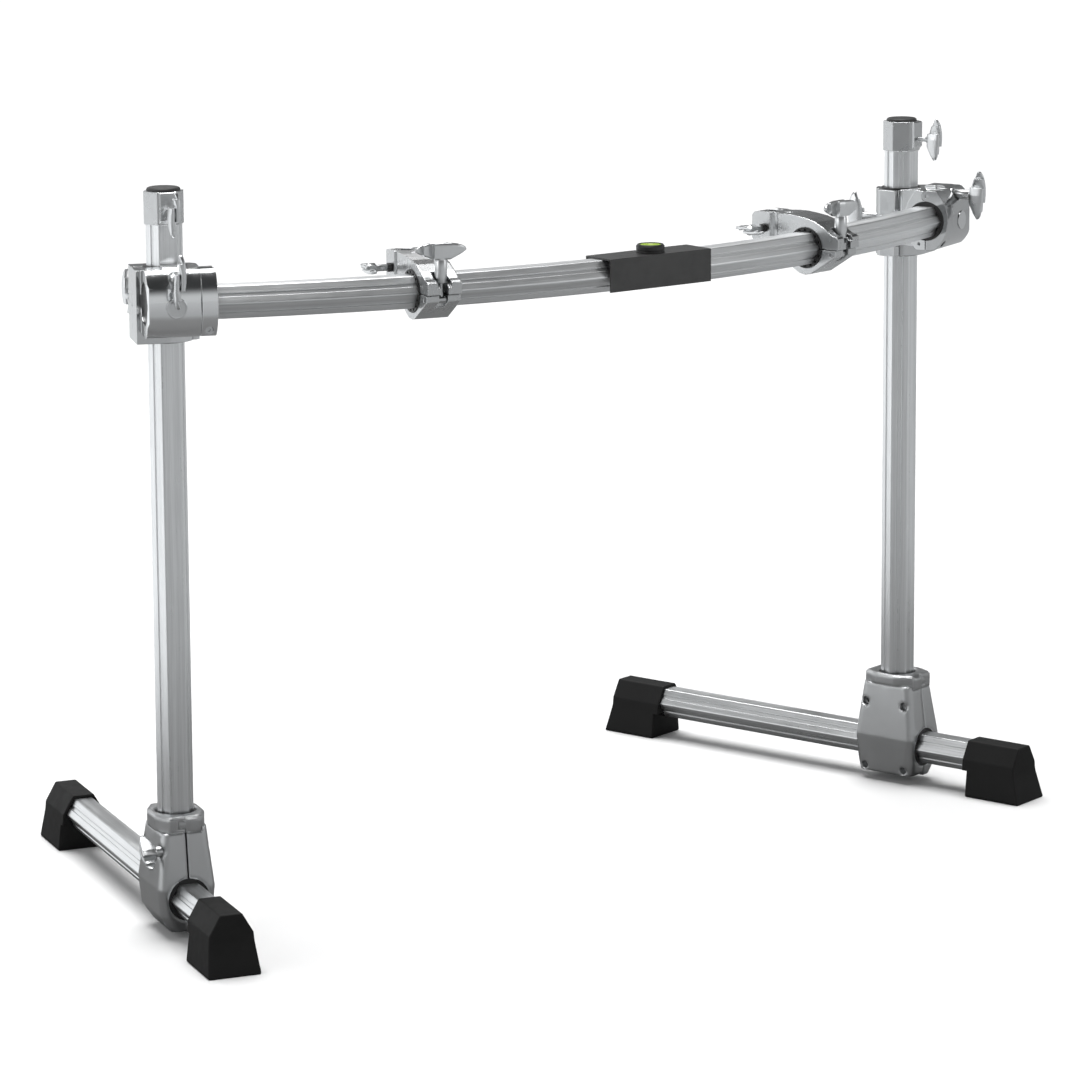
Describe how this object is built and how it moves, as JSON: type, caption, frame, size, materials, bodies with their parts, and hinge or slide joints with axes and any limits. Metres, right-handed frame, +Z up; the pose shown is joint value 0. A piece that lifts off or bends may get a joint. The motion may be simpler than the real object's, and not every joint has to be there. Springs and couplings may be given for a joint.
{
  "type": "drum rack frame",
  "caption": "Free-standing curved drum rack frame of hexagonal tubing, on two posts with splayed feet, with clamps at the posts and holder clamps along the bar.",
  "frame": {"origin": "on the floor, under the middle of the whole frame", "axes": "+X across the frame, to the right of someone who faces it from the audience; +Y from the audience's side to the player's side; +Z up"},
  "size_m": [1.2926, 0.6668, 0.8778],
  "materials": {
    "tube": "satin drawn hexagonal tube with fine lines along it",
    "casting": "polished and plated die casting",
    "clamp_satin": "bright satin casting",
    "pewter": "satin grey coated casting",
    "bolt": "plated wing bolts and screws",
    "bush": "moulded black plastic",
    "foot": "moulded black rubber",
    "sheet": "dark coated sheet",
    "level": "tinted window of a bubble level"
  },
  "bodies": {
    "bar": {"crossbar_tube": "tube", "badge_plate": "sheet", "level_cup": "bush", "level_window": "level", "t_clamp_tube_bushes": "bush", "t_clamp_fasteners": "bolt", "left_t_clamp_body": "casting", "left_t_clamp_drum": "casting", "left_t_clamp_ring": "casting", "left_t_clamp_rear_jaw": "casting", "right_t_clamp_body": "casting", "right_t_clamp_drum": "casting", "right_t_clamp_ring": "casting", "right_t_clamp_rear_jaw": "casting"},
    "left_post_sleeve": {"left_post_bush": "bush"},
    "left_leg": {"left_post": "tube", "left_top_collar": "casting", "left_top_plug": "sheet", "left_base_outer": "pewter", "left_base_inner": "pewter", "left_base_collar": "pewter", "left_base_bushes": "bush", "left_base_screws": "bolt"},
    "left_foot": {"left_foot_tube": "tube", "left_front_foot": "foot", "left_rear_foot": "foot"},
    "left_top_wing_bolt": {"left_top_wing": "bolt"},
    "left_base_wing_bolt": {"left_base_wing": "bolt"},
    "left_t_clamp_front_wing_bolt": {"left_t_clamp_front_wing": "bolt"},
    "left_t_clamp_rear_wing_bolt": {"left_t_clamp_rear_wing": "bolt"},
    "left_arm_wing_bolt": {"left_arm_wing": "bolt"},
    "left_multi_nut": {"left_multi_wing": "bolt"},
    "left_multi_sleeve": {"left_multi_bush": "bush"},
    "left_multi_clamp": {"left_multi_body": "clamp_satin", "left_multi_jaw": "clamp_satin", "left_multi_hinge_pin": "bolt"},
    "left_multi_bolt": {"left_swing_bolt": "bolt"},
    "right_post_sleeve": {"right_post_bush": "bush"},
    "right_leg": {"right_post": "tube", "right_top_collar": "casting", "right_top_plug": "sheet", "right_base_outer": "pewter", "right_base_inner": "pewter", "right_base_collar": "pewter", "right_base_bushes": "bush", "right_base_screws": "bolt"},
    "right_foot": {"right_foot_tube": "tube", "right_front_foot": "foot", "right_rear_foot": "foot"},
    "right_top_wing_bolt": {"right_top_wing": "bolt"},
    "right_base_wing_bolt": {"right_base_wing": "bolt"},
    "right_t_clamp_front_wing_bolt": {"right_t_clamp_front_wing": "bolt"},
    "right_t_clamp_rear_wing_bolt": {"right_t_clamp_rear_wing": "bolt"},
    "right_arm_wing_bolt": {"right_arm_wing": "bolt"},
    "right_multi_nut": {"right_multi_wing": "bolt"},
    "right_multi_sleeve": {"right_multi_bush": "bush"},
    "right_multi_clamp": {"right_multi_body": "clamp_satin", "right_multi_jaw": "clamp_satin", "right_multi_hinge_pin": "bolt"},
    "right_multi_bolt": {"right_swing_bolt": "bolt"}
  },
  "joints": [
    {"name": "left_leg_turn", "type": "hinge", "parent": "bar", "child": "left_post_sleeve", "pos_m": [-0.563, -0.12285, 0.751], "axis": [0, 0, 1], "continuous": true},
    {"name": "left_height", "type": "slide", "parent": "left_post_sleeve", "child": "left_leg", "axis": [0, 0, 1], "range_m": [-0.028, 0.55]},
    {"name": "left_foot_reach", "type": "slide", "parent": "left_leg", "child": "left_foot", "axis": [0.2504, 0.9681, 0], "range_m": [-0.32, 0.07]},
    {"name": "left_top_bolt_turn", "type": "hinge", "parent": "left_leg", "child": "left_top_wing_bolt", "pos_m": [-0.57569, -0.16078, 0.8505], "axis": [-0.3173, -0.9483, 0], "continuous": true},
    {"name": "left_base_bolt_turn", "type": "hinge", "parent": "left_leg", "child": "left_base_wing_bolt", "pos_m": [-0.59943, -0.1439, 0.105], "axis": [-0.9681, 0.2504, 0], "continuous": true},
    {"name": "left_front_bolt_turn", "type": "hinge", "parent": "bar", "child": "left_t_clamp_front_wing_bolt", "pos_m": [-0.59918, -0.20526, 0.782], "axis": [-0.4019, -0.9157, 0], "continuous": true},
    {"name": "left_rear_bolt_turn", "type": "hinge", "parent": "bar", "child": "left_t_clamp_rear_wing_bolt", "pos_m": [-0.56727, -0.05545, 0.742], "axis": [0.4019, 0.9157, 0], "continuous": true},
    {"name": "left_clamp_travel", "type": "hinge", "parent": "bar", "child": "left_multi_sleeve", "pos_m": [0, 1.01043, 0.751], "axis": [0, 0, 1], "range_deg": [-8, 8]},
    {"name": "left_clamp_tilt", "type": "hinge", "parent": "left_multi_sleeve", "child": "left_multi_clamp", "pos_m": [-0.30142, -0.27469, 0.751], "axis": [0.9736, -0.2284, 0], "continuous": true},
    {"name": "left_bolt_swing", "type": "hinge", "parent": "left_multi_clamp", "child": "left_multi_bolt", "pos_m": [-0.3101, -0.31169, 0.745], "axis": [0.9736, -0.2284, 0], "range_deg": [0, 80]},
    {"name": "left_nut_turn", "type": "hinge", "parent": "left_multi_bolt", "child": "left_multi_nut", "pos_m": [-0.3101, -0.31169, 0.771], "axis": [0, 0, 1], "continuous": true},
    {"name": "left_arm_bolt_turn", "type": "hinge", "parent": "left_multi_clamp", "child": "left_arm_wing_bolt", "pos_m": [-0.31556, -0.20358, 0.77], "axis": [-0.9736, 0.2284, 0], "continuous": true},
    {"name": "right_leg_turn", "type": "hinge", "parent": "bar", "child": "right_post_sleeve", "pos_m": [0.563, -0.12285, 0.751], "axis": [0, 0, 1], "continuous": true},
    {"name": "right_height", "type": "slide", "parent": "right_post_sleeve", "child": "right_leg", "axis": [0, 0, 1], "range_m": [-0.028, 0.55]},
    {"name": "right_foot_reach", "type": "slide", "parent": "right_leg", "child": "right_foot", "axis": [-0.2504, 0.9681, 0], "range_m": [-0.32, 0.07]},
    {"name": "right_top_bolt_turn", "type": "hinge", "parent": "right_leg", "child": "right_top_wing_bolt", "pos_m": [0.57569, -0.16078, 0.8505], "axis": [0.3173, -0.9483, 0], "continuous": true},
    {"name": "right_base_bolt_turn", "type": "hinge", "parent": "right_leg", "child": "right_base_wing_bolt", "pos_m": [0.58466, -0.08677, 0.105], "axis": [0.9681, 0.2504, 0], "continuous": true},
    {"name": "right_front_bolt_turn", "type": "hinge", "parent": "bar", "child": "right_t_clamp_front_wing_bolt", "pos_m": [0.59918, -0.20526, 0.782], "axis": [0.4019, -0.9157, 0], "continuous": true},
    {"name": "right_rear_bolt_turn", "type": "hinge", "parent": "bar", "child": "right_t_clamp_rear_wing_bolt", "pos_m": [0.56727, -0.05545, 0.742], "axis": [-0.4019, 0.9157, 0], "continuous": true},
    {"name": "right_clamp_travel", "type": "hinge", "parent": "bar", "child": "right_multi_sleeve", "pos_m": [0, 1.01043, 0.751], "axis": [0, 0, 1], "range_deg": [-8, 8]},
    {"name": "right_clamp_tilt", "type": "hinge", "parent": "right_multi_sleeve", "child": "right_multi_clamp", "pos_m": [0.28345, -0.27877, 0.751], "axis": [0.9767, 0.2147, 0], "continuous": true},
    {"name": "right_bolt_swing", "type": "hinge", "parent": "right_multi_clamp", "child": "right_multi_bolt", "pos_m": [0.29161, -0.31589, 0.745], "axis": [0.9767, 0.2147, 0], "range_deg": [0, 80]},
    {"name": "right_nut_turn", "type": "hinge", "parent": "right_multi_bolt", "child": "right_multi_nut", "pos_m": [0.29161, -0.31589, 0.771], "axis": [0, 0, 1], "continuous": true},
    {"name": "right_arm_bolt_turn", "type": "hinge", "parent": "right_multi_clamp", "child": "right_arm_wing_bolt", "pos_m": [0.23998, -0.22075, 0.77], "axis": [-0.9767, -0.2147, 0], "continuous": true}
  ]
}
